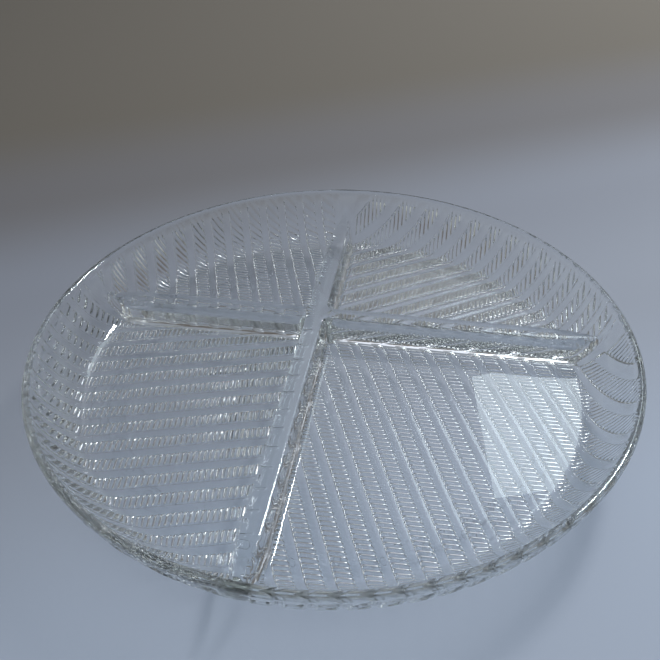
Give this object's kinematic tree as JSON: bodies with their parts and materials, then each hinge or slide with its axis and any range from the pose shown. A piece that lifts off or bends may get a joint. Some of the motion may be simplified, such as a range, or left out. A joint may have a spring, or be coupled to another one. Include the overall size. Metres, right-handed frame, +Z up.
{
  "type": "lazy susan turntable",
  "caption": "Round clear glass serving tray with raised dividers and ribbed moulded bands, turning on a low clear ball-bearing swivel base.",
  "frame": {"origin": "centre of the turntable's axis, on the surface that its feet stand on", "axes": "+Z up along the turning axis; +X and +Y along the glass dividers"},
  "size_m": [0.32, 0.32, 0.0435],
  "materials": {
    "pressed_glass": "clear pressed glass, fire polished",
    "clear_plastic": "clear acrylic, polished",
    "clear_rubber": "clear soft, satin",
    "ball_glass": "clear glass, polished"
  },
  "bodies": {
    "swivel_base": {"base_plate": "clear_plastic", "lower_race_ring": "clear_plastic", "pivot_pin": "clear_plastic", "retaining_clip": "clear_plastic", "rubber_feet": "clear_rubber"},
    "ball_race": {"ball_cage": "clear_plastic", "bearing_balls": "ball_glass"},
    "turntable": {"turntable_plate": "clear_plastic", "upper_race_ring": "clear_plastic", "pivot_bushing": "clear_plastic", "thrust_washer": "clear_plastic", "grip_pads": "clear_rubber"},
    "tray": {"glass_tray": "pressed_glass"}
  },
  "joints": [
    {"name": "turntable_spin", "type": "hinge", "parent": "swivel_base", "child": "turntable", "pos_m": [0, 0, 0.008], "axis": [0, 0, 1], "continuous": true},
    {"name": "ball_race_roll", "type": "hinge", "parent": "swivel_base", "child": "ball_race", "pos_m": [0, 0, 0.0053], "axis": [0, 0, 1], "continuous": true},
    {"name": "tray_lift_off", "type": "slide", "parent": "turntable", "child": "tray", "axis": [0, 0, 1], "range_m": [0, 0.06]}
  ],
  "couplings": [
    {"joint": "ball_race_roll", "follows": "turntable_spin", "ratio": 0.5}
  ]
}
